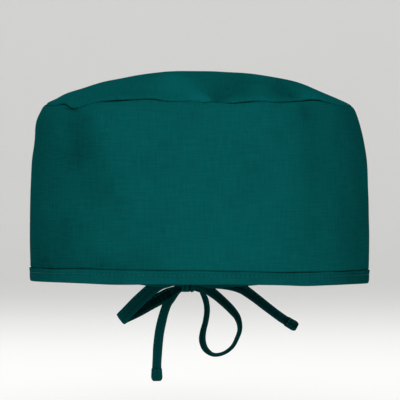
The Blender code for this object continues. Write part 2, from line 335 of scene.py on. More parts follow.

# How open the seam's groove is, and how deep its painted shadow: 0 is cloth drawn flat over it, 1 is a gap
# dark with painted shadow, and more is deeper
GROOVE_COLUMNS = ("azimuth", "share")
GROOVE = (
    (-153, 0.7),
    (-110, 0.6),
    (-90, 0.4),
    (-60, 0.35),
    (-54, 0.4),
    (-49, 0.7),
    (-46.5, 0.95),
    (-44.4, 0.85),
    (-40.6, 0.5),
    (-37, 0.35),
    (-34, 0.5),
    (-31, 1.1),
    (-28, 1.25),
    (-25.7, 1.3),
    (-22, 0.95),
    (-15, 1.1),
    (-12.7, 0.95),
    (-10, 0.8),
    (-6, 0.5),
    (-2.4, 0.25),
    (0.2, 0.35),
    (2.8, 0.75),
    (5.4, 0.5),
    (7.9, 0.4),
    (10.5, 0.85),
    (18, 0.95),
    (20.8, 0.6),
    (23.3, 0.6),
    (28.6, 0.8),
    (31.4, 0.95),
    (41, 1.3),
    (45, 0.75),
    (49.6, 0.3),
    (60, 0.25),
    (90, 0.4),
    (110, 0.6),
    (153, 0.7),
)

# The band's turned-in top edge, which carries the painted shadow of the seam's groove, and the crown's lower
# edge, each by its distance beyond the seam
# Columns: beyond_seam, inset, painted shadow
BAND_EDGE = (
    (0.22, 0.10, 0.2),
    (0.40, 0.32, 0.7),
    (0.44, 0.62, 1.0),
    (0.30, 0.95, 1.0),
    (-0.10, 1.35, 1.0),
    (-0.9, 1.8, 1.0),
)
# Columns: beyond_seam, inset
CROWN_EDGE = (
    (-4.0, 2.3),
    (-1.0, 2.1),
    (-0.2, 1.95),
    (0.25, 1.85),
    (0.55, 1.5),
    (0.7, 1.0),
    (0.85, 0.45),
    (1.05, 0.0),
    (1.4, -0.4),
    (2.1, -0.75),
    (3.1, -0.9),
    (4.6, -0.9),
    (6.5, -0.7),
    (9.0, -0.45),
    (13.0, -0.2),
    (20.0, 0.0),
)

# How far the rim's tape lies below an even line, and how deep the painted shade is: a painted shadow line
# above the tape, and painted shade on the tape
RIM_COLUMNS = ("azimuth", "upper", "lower", "painted_line_shade", "painted_tape_shade")
RIM = (
    (-152, 0.0, 0.0, 0.5, 0.0),
    (-90, 0.3, 0.3, 0.4, 0.1),
    (-51, 0.5, 0.1, 0.35, 0.1),
    (-36.5, 0.1, 0.3, 0.35, 0.0),
    (-25.7, 0.5, 0.75, 0.28, 0.0),
    (-13, 0.6, 0.4, 0.3, 0.0),
    (0, 0.6, 0.3, 0.25, 0.0),
    (13, 0.9, 0.2, 0.45, 0.0),
    (24.3, 1.2, 0.4, 0.5, 0.0),
    (32.5, 1.0, 0.8, 0.8, 0.05),
    (40.5, 0.9, 0.5, 0.85, 0.15),
    (55, 0.5, 0.1, 0.6, 0.5),
    (90, 0.3, 0.1, 0.6, 0.3),
    (152, 0.0, 0.0, 0.5, 0.0),
)

# Long folds that rise from the gathered nape. They deepen over a short start, keep their full depth for a
# share of their reach, and grow wider by a share as they rise
NAPE_FOLD_START = 10.0
NAPE_FOLD_FULL = 0.35
NAPE_FOLD_SPREAD = 1.6
# Columns: azimuth, drift in degrees, reach, half_width in degrees, relief
NAPE_FOLDS = (
    (157.0, -7.0, 74.0, 3.2, -1.1),
    (166.5, -5.0, 92.0, 2.8, -1.0),
    (172.0, -2.0, 60.0, 2.2, 0.5),
    (181.0, 2.0, 84.0, 2.6, -1.0),
    (189.0, 3.0, 66.0, 2.4, 0.5),
    (196.5, 6.0, 98.0, 3.0, -1.2),
    (205.0, 8.0, 70.0, 3.2, -1.0),
)

# Routes of the bow's strands. Turn is the angle from +Y to the tape's width, and slant says to which side
# that is, from +X towards +Z. Columns: x, y, z, turn, slant
LOOP_LEFT = (
    (-10.4, 106.2, -2.4, 88, 96),
    (-15.5, 107.6, -1.6, 86, 106),
    (-21.5, 109.4, -3.0, 84, 125),
    (-27.3, 111.0, -7.2, 84, 132),
    (-33.6, 112.2, -13.0, 86, 134),
    (-39.0, 113.6, -18.5, 88, 130),
    (-42.2, 115.6, -21.8, 88, 128),
    (-43.0, 118.2, -22.7, 86, 128),
    (-41.0, 119.8, -21.6, 80, 126),
    (-36.4, 119.0, -19.4, 74, 122),
    (-30.4, 116.8, -16.2, 70, 120),
    (-24.2, 113.8, -12.8, 70, 118),
    (-18.0, 110.8, -9.4, 74, 114),
    (-10.4, 108.2, -5.4, 84, 104),
)
TAIL_LEFT = (
    (-10.4, 110.3, -5.6, 84, 104),
    (-14.0, 113.2, -8.4, 60, 130),
    (-16.8, 115.6, -12.8, 40, 156),
    (-18.6, 116.2, -17.2, 40, 166),
    (-20.4, 116.2, -23.4, 44, 170),
    (-21.9, 116.0, -30.0, 44, 174),
    (-22.8, 115.8, -37.0, 44, 176),
    (-23.2, 115.6, -43.6, 43, 178),
    (-23.4, 115.4, -49.6, 44, 180),
    (-23.3, 115.2, -56.4, 54, 182),
)
LOOP_RIGHT = (
    (-1.6, 110.4, -5.2, 84, 96),
    (1.6, 112.4, -8.4, 40, 150),
    (3.3, 114.2, -12.4, 26, 172),
    (4.0, 115.2, -17.6, 22, 180),
    (3.3, 115.8, -23.6, 22, 186),
    (1.9, 116.2, -29.6, 25, 188),
    (1.6, 116.4, -34.6, 28, 192),
    (3.4, 116.5, -39.2, 24, 222),
    (7.6, 116.5, -42.0, 14, 262),
    (12.8, 116.4, -41.3, 12, 290),
    (17.6, 116.2, -38.0, 13, 310),
    (20.4, 115.9, -33.2, 15, 326),
    (22.0, 115.4, -27.8, 18, 346),
    (20.8, 114.8, -22.0, 26, 380),
    (17.4, 114.0, -17.4, 34, 400),
    (13.0, 113.0, -13.0, 38, 406),
    (8.2, 111.8, -8.8, 42, 410),
    (3.4, 110.4, -5.6, 58, 424),
    (-1.6, 108.3, -3.6, 84, 440),
)
TAIL_RIGHT = (
    (-1.6, 106.2, -2.2, 88, 88),
    (6.0, 107.2, -2.2, 82, 86),
    (14.0, 108.8, -3.0, 68, 76),
    (22.4, 110.4, -5.6, 52, 64),
    (29.6, 111.6, -10.4, 45, 56),
    (36.4, 112.4, -15.7, 41, 54),
    (43.4, 112.8, -21.0, 40, 55),
    (49.0, 113.0, -24.7, 41, 57),
    (53.2, 113.0, -27.1, 48, 58),
)

# A tape's turn back inside the knot. Columns: share of the way across, share of the depth
KNOT_TURN = ((0.12, 0.55), (0.5, 1.0), (0.88, 0.55))

# How deep each tie turns back there: x of its turn after the lead, and of the one after the loop
TURNS_LEFT = (-7.0, -7.0)
TURNS_RIGHT = (-5.2, -3.4)

# How deep the painted shade is along each tie, by the distance from the binding's end. Below 0 it is painted
# paler: near the binding, and as a painted highlight towards the left tail's end
PAINTED_SHADES_LEFT = (
    (0, -0.5),
    (19, -0.25),
    (38, 0.0),
    (60, 0.15),
    (84, 0.05),
    (93, -0.15),
    (102, 0.6),
    (116, 0.85),
    (134, 0.7),
    (146, 0.05),
    (160, -0.05),
    (172, -0.3),
    (195, -0.4),
)
PAINTED_SHADES_RIGHT = (
    (0, -0.5),
    (19, -0.25),
    (38, 0.0),
    (62, 0.1),
    (72, 0.45),
    (92, 0.55),
    (108, 0.5),
    (124, 0.6),
    (150, 0.5),
    (166, 0.25),
    (180, 0.55),
    (205, 0.65),
    (232, 0.55),
)


def ease(value):
    value = np.clip(value, 0.0, 1.0)
    return value * value * (3 - 2 * value)


def through(places, values, at):
    """A smooth curve through a short table: cubic pieces whose slopes follow the neighbours."""
    places, values, at = (np.asarray(given, float) for given in (places, values, at))
    slopes = np.empty(len(values))
    slopes[1:-1] = (values[2:] - values[:-2]) / (places[2:] - places[:-2])
    slopes[0] = (values[1] - values[0]) / (places[1] - places[0])
    slopes[-1] = (values[-1] - values[-2]) / (places[-1] - places[-2])
    i = np.clip(np.searchsorted(places, at, side="right") - 1, 0, len(places) - 2)
    span = places[i + 1] - places[i]
    u = np.clip((at - places[i]) / span, 0.0, 1.0)
    start = (1 + 2 * u) * (1 - u) ** 2 * values[i] + u * (1 - u) ** 2 * span * slopes[i]
    end = u * u * (3 - 2 * u) * values[i + 1] - u * u * (1 - u) * span * slopes[i + 1]
    return start + end


def columns(rows):
    return [np.array(column) for column in zip(*rows)]


def bell(away):
    """1 in the middle, fading softly on both sides."""
    return np.exp(-(away**2))


def distances(points):
    """How far each point of a line is from the first, along the line."""
    return np.concatenate(((0.0,), np.cumsum(np.linalg.norm(np.diff(points, axis=0), axis=1))))


def ripple(points, wavelength, seed):
    """Smooth irregular waves through space, from about -1 to 1."""
    chance = np.random.default_rng(seed)
    total = np.zeros(points.shape[:-1])
    for _ in range(6):
        direction = chance.normal(size=3)
        direction *= 2 * math.pi * chance.uniform(0.7, 1.5) / wavelength / np.linalg.norm(direction)
        total += np.sin(points @ direction + chance.uniform(0, 2 * math.pi))
    return total / 3


def ripples(points, rows):
    return sum(size * ripple(points, wavelength, seed) for size, wavelength, seed in rows)


HEIGHTS, HALF_WIDTHS, FRONTS, BACKS = columns(SECTIONS)
UPS = [0.0]
for lower, upper in zip(SECTIONS, SECTIONS[1:]):
    UPS.append(UPS[-1] + math.hypot(upper[0] - lower[0], upper[1] - lower[1]))
TOP = UPS[-1]


def turned(azimuth):
    """Degrees from the forehead, either way round."""
    return np.abs((np.asarray(azimuth, float) + 180) % 360 - 180)


def by_azimuth(columns, rows, azimuth):
    """Each column of a table of azimuths, at any azimuth."""
    wrapped = (np.asarray(azimuth, float) + 180) % 360 - 180
    places, *values = zip(*rows)
    return {name: through(places, column, wrapped) for name, column in zip(columns[1:], values)}


def seam_up(azimuth):
    """Distance up the cloth at which the band meets the crown."""
    return np.interp(by_azimuth(SEAM_COLUMNS, SEAM, azimuth)["height"], HEIGHTS, UPS)


def groove(azimuth):
    return by_azimuth(GROOVE_COLUMNS, GROOVE, azimuth)["share"]


def under_band(azimuth):
    """1 where the crown's lower edge lies behind the band, 0 past the band's end at the nape."""
    return 1 - ease((turned(azimuth) - CLEAR_OF_BAND) / CLEAR_OVER)


def plan(azimuth, half_width, front, back):
    """Points of the egg-shaped plan: flat in front, rounder behind."""
    across, along = np.sin(np.radians(azimuth)), -np.cos(np.radians(azimuth))
    depth = np.where(along < 0, front, back)
    exponent = np.where(along < 0, FRONT_EXPONENT, BACK_EXPONENT)
    reach = (np.abs(across) / half_width) ** exponent + (np.abs(along) / depth) ** exponent
    radius = reach ** (-1 / exponent)
    return radius * across, radius * along


def smooth_point(azimuth, up):
    """The cap's outer surface before folds, in millimetres."""
    azimuth, up = np.broadcast_arrays(np.asarray(azimuth, float), np.asarray(up, float))
    half_width, front, back = (np.maximum(through(UPS, c, up), 1e-4) for c in (HALF_WIDTHS, FRONTS, BACKS))
    x, y = plan(azimuth, half_width, front, back)
    dip = NAPE_DROP * ease((turned(azimuth) - NAPE_DROP_FROM) / NAPE_DROP_OVER)
    dip = dip + RIM_TILT * np.sin(np.radians(azimuth))
    return np.stack((x, y, through(UPS, HEIGHTS, up) - dip * (1 - ease(up / RIM_SHAPE_REACH))), axis=-1)


def unit(vectors):
    return vectors / np.maximum(np.linalg.norm(vectors, axis=-1, keepdims=True), 1e-9)


def normal(azimuth, up):
    """Unit vectors out of the cloth."""
    azimuth, up = np.broadcast_arrays(np.asarray(azimuth, float), np.asarray(up, float))
    along = smooth_point(azimuth + NORMAL_STEP, up) - smooth_point(azimuth - NORMAL_STEP, up)
    above = smooth_point(azimuth, np.minimum(up + NORMAL_STEP, TOP))
    out = unit(np.cross(along, above - smooth_point(azimuth, up - NORMAL_STEP)))
    level = ease((up - TOP + TOP_LEVEL_FROM) / TOP_LEVEL_OVER)[..., None]
    return unit(out * (1 - level) + np.array((0.0, 0.0, 1.0)) * level)


def fold(a, b, row):
    """Relief of one fold: a soft ridge or valley along a line between two places."""
    a0, b0, a1, b1, width0, width1, relief = row
    run = (a1 - a0) ** 2 + (b1 - b0) ** 2
    share = ((a - a0) * (a1 - a0) + (b - b0) * (b1 - b0)) / run if run else np.zeros_like(a)
    near = np.clip(share, 0, 1)
    away = np.hypot(a - a0 - near * (a1 - a0), b - b0 - near * (b1 - b0))
    return relief * bell(away / (width0 + near * (width1 - width0)))


def folds(a, b, rows):
    return sum(fold(a, b, row) for row in rows)


def painted_tones(point, rows):
    """The painted shade and painted highlight that a table gives, on the front half of the cap."""
    return folds(point[..., 0], point[..., 2], rows) * ease((PAINTED_TONES_END - point[..., 1]) / PAINTED_TONES_FADE)


def gathers(azimuth, up):
    """Pleats that the ties draw into the nape, always inwards, no two alike."""
    from_nape = turned(azimuth) - 180
    side = np.sign(np.sin(np.radians(azimuth)))
    strength = ease((turned(azimuth) - GATHERS_FROM) / GATHERS_OVER) * (1 - ease(up / GATHER_REACH))
    stray = sum(size * np.sin(from_nape * often + side * shift) for size, often, shift in GATHER_STRAYS)
    wave = np.cos(2 * math.pi * (from_nape + stray + GATHER_LEAN * up * side) / GATHER_PITCH)
    return -GATHER_DEPTH * strength * ((1 - wave) / 2) ** GATHER_SHARPNESS


def nape_folds(azimuth, up):
    """The longer folds of the gathered cloth, which lean outwards as they rise."""
    total = np.zeros(np.broadcast(azimuth, up).shape)
    for middle, drift, reach, half_width, relief in NAPE_FOLDS:
        share = np.clip(up / reach, 0, 1)
        away = (azimuth % 360 - middle - drift * share) / (half_width * (1 + NAPE_FOLD_SPREAD * share))
        fades = 1 - ease((up - reach * NAPE_FOLD_FULL) / (reach * (1 - NAPE_FOLD_FULL)))
        total += relief * bell(away) * ease(up / NAPE_FOLD_START) * fades
    return total


def shoulders(point, azimuth):
    total = np.zeros(point.shape[:-1])
    for middle, height, half_width, half_height, relief in SHOULDERS:
        around = ((azimuth - middle + 180) % 360 - 180) / half_width
        total += relief * bell(around) * bell((point[..., 2] - height) / half_height)
    return total


def crown_relief(point, azimuth, up):
    beyond, from_top = up - seam_up(azimuth), TOP - up
    relief = ease(beyond / FOLD_FADE) * folds(point[..., 0], point[..., 1], CROWN_FOLDS)
    relief += shoulders(point, azimuth)
    creases = folds(point[..., 0], point[..., 2], CROWN_CREASES)
    relief += np.where(point[..., 1] < 0, creases, 0.0) * ease(from_top / CREASE_FADE)
    relief += gathers(azimuth, up) + nape_folds(azimuth, up)
    soft = ease(beyond / RIPPLE_FADE) * ease(from_top / RIPPLE_FADE)
    return relief + soft * ripples(point, CROWN_RIPPLES)


def band_relief(point, azimuth, up):
    fade = ease((seam_up(azimuth) - up) / DENT_FADE) * ease(up / DENT_FADE_AT_RIM)
    relief = fade * folds(point[..., 0], point[..., 1], BAND_DENTS)
    relief += np.where(point[..., 1] < 0, folds(point[..., 0], point[..., 2], BAND_CREASES), 0.0)
    return relief + shoulders(point, azimuth) + ripples(point, BAND_RIPPLES)


def linear(hex_colour):
    """An sRGB hex colour as the linear value that a shader takes."""
    channels = [int(hex_colour[i : i + 2], 16) / 255 for i in (1, 3, 5)]
    return tuple(c / 12.92 if c <= 0.04045 else ((c + 0.055) / 1.055) ** 2.4 for c in channels) + (1.0,)


def add_node(tree, kind, inputs=None, **settings):
    """A node with its settings. An input is a value, or the socket that it is linked from."""
    node = tree.nodes.new(kind)
    for name, value in settings.items():
        setattr(node, name, value)
    for place, value in (inputs or {}).items():
        if isinstance(value, bpy.types.NodeSocket):
            tree.links.new(value, node.inputs[place])
        else:
            node.inputs[place].default_value = value
    return node


def maths(tree, operation, *values):
    """The result of a sum of sockets and numbers."""
    return add_node(tree, "ShaderNodeMath", dict(enumerate(values)), operation=operation).outputs[0]


def noise(tree, place, **inputs):
    return add_node(tree, "ShaderNodeTexNoise", {"Vector": place, **inputs}).outputs["Fac"]


def place_on(tree):
    """Places on the piece itself, in metres."""
    return add_node(tree, "ShaderNodeTexCoord").outputs["Object"]


def new_material(name):
    """A material's node tree and its shader."""
    made = bpy.data.materials.new(name)
    made.use_nodes = True
    return made, made.node_tree, made.node_tree.nodes["Principled BSDF"]


def two_tone(tree, shader, source, start, end, tints):
    """The shader's colour, from one tint to another as the source goes from start to end."""
    ramp = add_node(tree, "ShaderNodeValToRGB", {"Fac": source})
    for element, position, tint in zip(ramp.color_ramp.elements, (start, end), tints):
        element.position = position
        element.color = linear(tint)
    tree.links.new(ramp.outputs["Color"], shader.inputs["Base Color"])
    return ramp


def raise_surface(tree, shader, height, strength, depth):
    """Relief too fine for the mesh, from a pattern, with its depth in millimetres."""
    raised = {"Height": height, "Strength": strength, "Distance": depth * MM}
    tree.links.new(add_node(tree, "ShaderNodeBump", raised).outputs["Normal"], shader.inputs["Normal"])


def set_inputs(shader, values):
    for name, value in values.items():
        shader.inputs[name].default_value = value


def woven_pattern(tree, place):
    """Two patterns from 0 to 1: threads that cross over and under, and slubs, where a thread is uneven."""
    axes = add_node(tree, "ShaderNodeSeparateXYZ", {"Vector": place}).outputs
    waves = []
    for axis in ("X", "Y"):
        waves.append(maths(tree, "SINE", maths(tree, "MULTIPLY", axes[axis], math.pi / (WEAVE_PITCH * MM))))
    crossing = {"Value": maths(tree, "MULTIPLY", *waves), "From Min": -1.0, "From Max": 1.0}
    over_under = add_node(tree, "ShaderNodeMapRange", crossing)

    slubs = []
    for scale in ((SLUB_LENGTHWAYS, SLUB_CROSSWAYS, 1.0), (SLUB_CROSSWAYS, SLUB_LENGTHWAYS, 1.0)):
        drawn = add_node(tree, "ShaderNodeMapping", {"Vector": place, "Scale": scale}).outputs["Vector"]
        slubs.append(noise(tree, drawn, Scale=1.0, Detail=1.0))
    both = {"Value": maths(tree, "ADD", *slubs), "From Min": 0.7, "From Max": 1.3}
    uneven = add_node(tree, "ShaderNodeMapRange", both)
    return over_under.outputs["Result"], uneven.outputs["Result"]


def cloth_material(name, dye):
    """Woven poly-cotton: matt, its threads crossing in a plain weave, a little fibre fuzz at grazing angles.

    The weave follows the piece's own UV map, in metres. The piece's point attribute of painted light and
    shade darkens the colour where cloth is drawn into a seam or a crease, as painted shade, and pales it
    where it is less than 0, as a painted highlight.
    """
    made, tree, shader = new_material(name)
    over_under, uneven = woven_pattern(tree, add_node(tree, "ShaderNodeUVMap", uv_map="Cloth").outputs["UV"])
    mottle = noise(tree, place_on(tree), Scale=38.0, Detail=3.0, Roughness=0.55)
    painted_light_and_shade = add_node(tree, "ShaderNodeAttribute", attribute_name="PaintedLightAndShade").outputs["Fac"]

    # Each pattern's share in the colour's place on the ramp, on top of an even one: slubs, weave and mottle
    # vary the dye, and the painted light and shade darkens it in painted shade and pales it in painted
    # highlights
    shade = 0.30
    for source, share in ((uneven, 0.22), (over_under, 0.05), (mottle, 0.3), (painted_light_and_shade, -0.6)):
        shade = maths(tree, "MULTIPLY_ADD", source, share, shade)
    # The ramp's foot is the painted shade deep in a hollow
    ramp = two_tone(tree, shader, shade, 0.0, 0.85, (PAINTED_HOLLOW_SHADE, dye[0]))
    ramp.color_ramp.elements.new(0.25).color = linear(dye[1])

    height = maths(tree, "MULTIPLY_ADD", over_under, WEAVE_CROSSING, uneven)
    raise_surface(tree, shader, height, 1.0, WEAVE_DEPTH)
    set_inputs(shader, {"Roughness": 0.88, "IOR": 1.5, "Specular IOR Level": 0.0})
    set_inputs(shader, {"Sheen Weight": 0.03, "Sheen Roughness": 0.45, "Sheen Tint": linear(FUZZ)})
    return made


def thread_material():
    """Spun polyester sewing thread: smoother than the cloth, so its stitches catch a little light."""
    made, tree, shader = new_material("Spun polyester thread")
    fibres = noise(tree, place_on(tree), Scale=2600.0, Detail=2.0)
    two_tone(tree, shader, fibres, 0.3, 0.7, THREAD_DYE)
    raise_surface(tree, shader, fibres, 0.6, 0.05)
    set_inputs(shader, {"Roughness": 0.6, "Specular IOR Level": 0.08})
    return made


def paper_material():
    """Matt studio paper, off white, with a trace of fibre. It glows a little, as well-lit paper does."""
    made, tree, shader = new_material("Studio paper")
    fibre = noise(tree, place_on(tree), Scale=3.0, Detail=4.0)
    two_tone(tree, shader, fibre, 0.0, 1.0, PAPER_TINTS)
    glow = {"Emission Color": linear("#FFFFFF"), "Emission Strength": 0.12}
    set_inputs(shader, {"Roughness": 0.95, **glow})
    return made


def place_object(name, data):
    """A new object of the scene, unturned at the origin."""
    made = bpy.data.objects.new(name, data)
    bpy.context.collection.objects.link(made)
    return made


def link_mesh(name, points, faces, uvs, look, painted_light_and_shade):
    """A mesh object from points in millimetres, with a UV place in metres and a painted light and shade value
    for each point.
    """
    mesh = bpy.data.meshes.new(name)
    mesh.from_pydata((points * MM).tolist(), [], faces)
    mesh.materials.append(look)
    layer = mesh.uv_layers.new(name="Cloth")
    corners = np.zeros(len(mesh.loops), np.int32)
    mesh.loops.foreach_get("vertex_index", corners)
    layer.data.foreach_set("uv", (uvs[corners] * MM).astype(np.float32).ravel())
    shaded = mesh.attributes.new("PaintedLightAndShade", "FLOAT", "POINT")
    shaded.data.foreach_set("value", np.clip(painted_light_and_shade, -1, 1).astype(np.float32).ravel())
    mesh.shade_smooth()
    mesh.update()
    return place_object(name, mesh)


def sheet_mesh(name, grid, uvs, painted_light_and_shade, closed, look, apex=None):
    """A sheet through columns of points, given its wall inwards. An apex closes the columns' ends."""
    columns, rows = grid.shape[:2]
    index = np.arange(columns * rows).reshape(columns, rows)
    left = index if closed else index[:-1]
    right = np.roll(index, -1, axis=0) if closed else index[1:]
    quads = np.stack((left[:, :-1], right[:, :-1], right[:, 1:], left[:, 1:]), axis=-1)
    faces = quads.reshape(-1, 4).tolist()
    points, places = grid.reshape(-1, 3), uvs.reshape(-1, 2)
    if apex is not None:
        faces += [[a, b, len(points)] for a, b in zip(left[:, -1].tolist(), right[:, -1].tolist())]
        points, places = np.vstack((points, apex)), np.vstack((places, (0.0, 0.0)))
        painted_light_and_shade = np.append(painted_light_and_shade, 0.0)
    made = link_mesh(name, points, faces, places, look, painted_light_and_shade)
    thickness = made.modifiers.new("Wall", "SOLIDIFY")
    thickness.thickness = CLOTH_WALL * MM
    thickness.offset = -1.0
    return made


def tube_mesh(name, rings, uvs, painted_light_and_shade, look):
    """A closed solid through a row of closed rings, its two ends filled."""
    count, around = rings.shape[:2]
    index = np.arange(count * around).reshape(count, around)
    beside = np.roll(index, -1, axis=1)
    quads = np.stack((index[:-1], beside[:-1], beside[1:], index[1:]), axis=-1)
    faces = quads.reshape(-1, 4).tolist()
    faces += [index[0][::-1].tolist(), index[-1].tolist()]
    return link_mesh(name, rings.reshape(-1, 3), faces, uvs.reshape(-1, 2), look, painted_light_and_shade)


def girth(azimuths, up=GIRTH_UP):
    """Distance round the cap from the middle of the forehead to each azimuth."""
    fine = np.linspace(-180, 360, GIRTH_STEPS)
    run = distances(smooth_point(fine, up))
    return np.interp(azimuths, fine, run) - np.interp(0.0, fine, run)


def even_azimuths(step, up):
    """Azimuths from one end of the band to the other, the same distance apart along the rim."""
    fine = np.linspace(-BAND_END, BAND_END, GIRTH_STEPS)
    run = girth(fine, up)
    count = round((run[-1] - run[0]) / step)
    return np.interp(np.linspace(run[0], run[-1], count + 1), run, fine)


# Up the cloth: where the band's face starts behind the binding, and its rows of points, the close ones at
# the tuck and at the seam. Inside the binding the band lies back, and comes out to its face over a short
# rise. The painted shadow line above the tape fades out over another
BAND_LOW = BINDING_HEIGHT - 3.0
BAND_TUCK_ROWS = (0.0, 1.0, 1.5, 1.8, 2.1, 2.4, 2.7, 3.0, 3.4, 3.9, 4.6)
BAND_FACE_ROWS = 46
BAND_SEAM_ROWS = (-3.0, -2.2, -1.6, -1.1, -0.7, -0.35, 0.0)
BAND_COLUMNS = 381
TUCKED_BACK = 0.95
TUCK_START = 0.5
TUCK_RISE = 1.3
PAINTED_LINE_SHADE_START = 0.05
PAINTED_LINE_SHADE_RISE = 0.55


def front_panel(look):
    """The band: tucked behind the binding below, its top edge turned in over the seam."""
    azimuth = np.linspace(-BAND_END, BAND_END, BAND_COLUMNS)[:, None]
    seam = seam_up(azimuth)
    tuck, near_seam = np.array(BAND_TUCK_ROWS), np.array(BAND_SEAM_ROWS)
    start, end = BAND_LOW + tuck[-1], seam + near_seam[0]
    rise, back, painted_edge_shadow = columns(BAND_EDGE)
    tucked = np.repeat(BAND_LOW + tuck[None, :], len(azimuth), 0)
    middle = start + (end - start) * np.linspace(0, 1, BAND_FACE_ROWS)[1:-1]
    face = np.hstack((tucked, middle, seam + near_seam))
    up = np.hstack((face, seam + rise))
    rim = by_azimuth(RIM_COLUMNS, RIM, azimuth)
    above_rim = up - BINDING_HEIGHT + rim["upper"]
    inset = TUCKED_BACK * (1 - ease((above_rim + TUCK_START) / TUCK_RISE))
    inset[:, face.shape[1] :] = back
    base = smooth_point(azimuth, up)
    relief = band_relief(base, azimuth, up)
    points = base + normal(azimuth, up) * (relief - inset)[..., None]
    places = np.stack((np.broadcast_to(girth(azimuth), up.shape), up), axis=-1)
    # Painted shade in the band's colour: a shadow line just above the rim's tape, the shadow of the seam's
    # groove on the turned edge, and the tone table's painted shade and highlight
    painted_light_and_shade = rim["painted_line_shade"] * (1 - ease((above_rim - PAINTED_LINE_SHADE_START) / PAINTED_LINE_SHADE_RISE))
    painted_light_and_shade[:, face.shape[1] :] = groove(azimuth) * painted_edge_shadow
    painted_light_and_shade += painted_tones(base, BAND_PAINTED_TONES)
    return sheet_mesh("front_panel_cloth", points, places, painted_light_and_shade, False, look)


# The crown's columns, close together at the gathered nape, and its rows of points near the seam
CROWN_FINE_FROM = 146
CROWN_WIDE_COLUMNS = 293
CROWN_FINE_COLUMNS = 125
CROWN_SKIRT_ROWS = 13
CROWN_SEAM_ROWS = (0.0, 0.25, 0.55, 0.7, 0.85, 1.05, 1.4, 2.1, 3.1, 4.6, 6.0)
CROWN_REST_ROWS = 70
CROWN_REST_EVENNESS = 0.65
CROWN_TOP_GAP = 1.0
GROOVE_BELOW_SEAM = 0.2
SEAM_PAST_BAND = 0.5

# The nape hem: how much its turned edge stands out, how deep its stitches draw it in, their reach, and the
# painted shade where they draw it in
HEM_PROUD = 0.25
HEM_PROUD_OVER = 1.2
HEM_DRAWN_IN = 0.35
HEM_DRAWN_REACH = 0.9
PAINTED_HEM_SHADE = 0.3

# At the nape the crown's edge lies back less, and gathers and long folds get painted shade, darker the deeper
# they go. The seam's painted shadow fades out over a short rise
NAPE_EASING = 0.55
PAINTED_FOLD_SHADE = 0.2
PAINTED_SEAM_SHADOW_START = 0.45
PAINTED_SEAM_SHADOW_RISE = 0.5


def crown_panel(look):
    """The crown: from its tucked edge, or its hem at the nape, up to the middle of the top."""
    wide = np.linspace(-CROWN_FINE_FROM, CROWN_FINE_FROM, CROWN_WIDE_COLUMNS)
    fine = np.linspace(CROWN_FINE_FROM, 360 - CROWN_FINE_FROM, CROWN_FINE_COLUMNS)[1:-1]
    azimuth = np.concatenate((wide, fine))[:, None]
    seam = seam_up(azimuth)
    into_nape = ease((turned(azimuth) - INTO_NAPE_FROM) / INTO_NAPE_OVER)
    low = (seam - SKIRT) * (1 - into_nape) + GAP * into_nape
    hidden = under_band(azimuth)
    skirt = low + (seam - GAP - low) * np.linspace(0, 1, CROWN_SKIRT_ROWS)
    near_seam = seam + np.array(CROWN_SEAM_ROWS)
    share = np.linspace(0, 1, CROWN_REST_ROWS)[1:]
    start, end = seam + CROWN_SEAM_ROWS[-1], TOP - CROWN_TOP_GAP
    closer = (1 - CROWN_REST_EVENNESS) * share**2 + CROWN_REST_EVENNESS * share
    rest = start + (end - start) * closer
    up = np.hstack((skirt, near_seam, rest))
    base = smooth_point(azimuth, up)
    inset = np.interp(up - seam, *columns(CROWN_EDGE)) * (1 - NAPE_EASING * into_nape)
    inset = np.where(up > seam - GROOVE_BELOW_SEAM, inset * groove(azimuth), inset) * hidden
    drawn_in = bell((up - HEM_STITCH_UP) / HEM_DRAWN_REACH)
    edge = HEM_PROUD * (1 - ease((up - HEM_STITCH_UP) / HEM_PROUD_OVER))
    hem = (1 - hidden) * (edge - HEM_DRAWN_IN * drawn_in)
    relief = crown_relief(base, azimuth, up) + hem
    points = base + normal(azimuth, up) * (relief - inset)[..., None]
    # Painted shade in the crown's colour: a shadow in the seam's groove that fades as the crown rises, shade
    # at the drawn-in hem and in the hollows of gathers and folds, and the tone table's painted shade and
    # highlight
    rise = points[..., 2] - smooth_point(azimuth, seam)[..., 2]
    in_seam = groove(azimuth) * ease(BAND_END + SEAM_PAST_BAND - turned(azimuth))
    painted_light_and_shade = in_seam * (1 - ease((rise - PAINTED_SEAM_SHADOW_START) / PAINTED_SEAM_SHADOW_RISE))
    painted_light_and_shade += PAINTED_HEM_SHADE * (1 - hidden) * drawn_in + painted_tones(base, CROWN_PAINTED_TONES)
    painted_light_and_shade -= PAINTED_FOLD_SHADE * np.minimum(gathers(azimuth, up) + nape_folds(azimuth, up), 0)
    reach, around = TOP - up, np.radians(azimuth)
    places = np.stack((reach * np.sin(around), -reach * np.cos(around)), axis=-1)
    return sheet_mesh("crown_panel_cloth", points, places, painted_light_and_shade, True, look, smooth_point(0.0, TOP))


# Outline of the rim's folded tape: how far it stands out of the band's face, and how far up
# Columns: proud, up
BINDING_OUTLINE = (
    (-0.75, 0.02),
    (-0.25, 0.06),
    (0.02, 0.28),
    (0.16, 0.7),
    (0.25, 1.3),
    (0.31, 2.1),
    (0.33, 3.0),
    (0.30, 3.9),
    (0.23, 4.5),
    (0.16, 4.9),
    (0.22, 5.3),
    (0.31, 5.8),
    (0.36, 6.4),
    (0.33, 6.85),
    (0.20, 7.12),
    (0.0, 7.2),
    (-0.4, 7.1),
    (-1.0, 7.1),
    (-1.5, 7.0),
    (-1.6, 6.4),
    (-1.62, 4.9),
    (-1.62, 2.4),
    (-1.5, 0.6),
    (-1.2, 0.15),
)


def rim_drop(azimuth, up):
    """How far the rim's tape lies below its even line, at each distance up the cloth."""
    rim = by_azimuth(RIM_COLUMNS, RIM, azimuth)
    return rim["lower"] + (rim["upper"] - rim["lower"]) * up / BINDING_HEIGHT


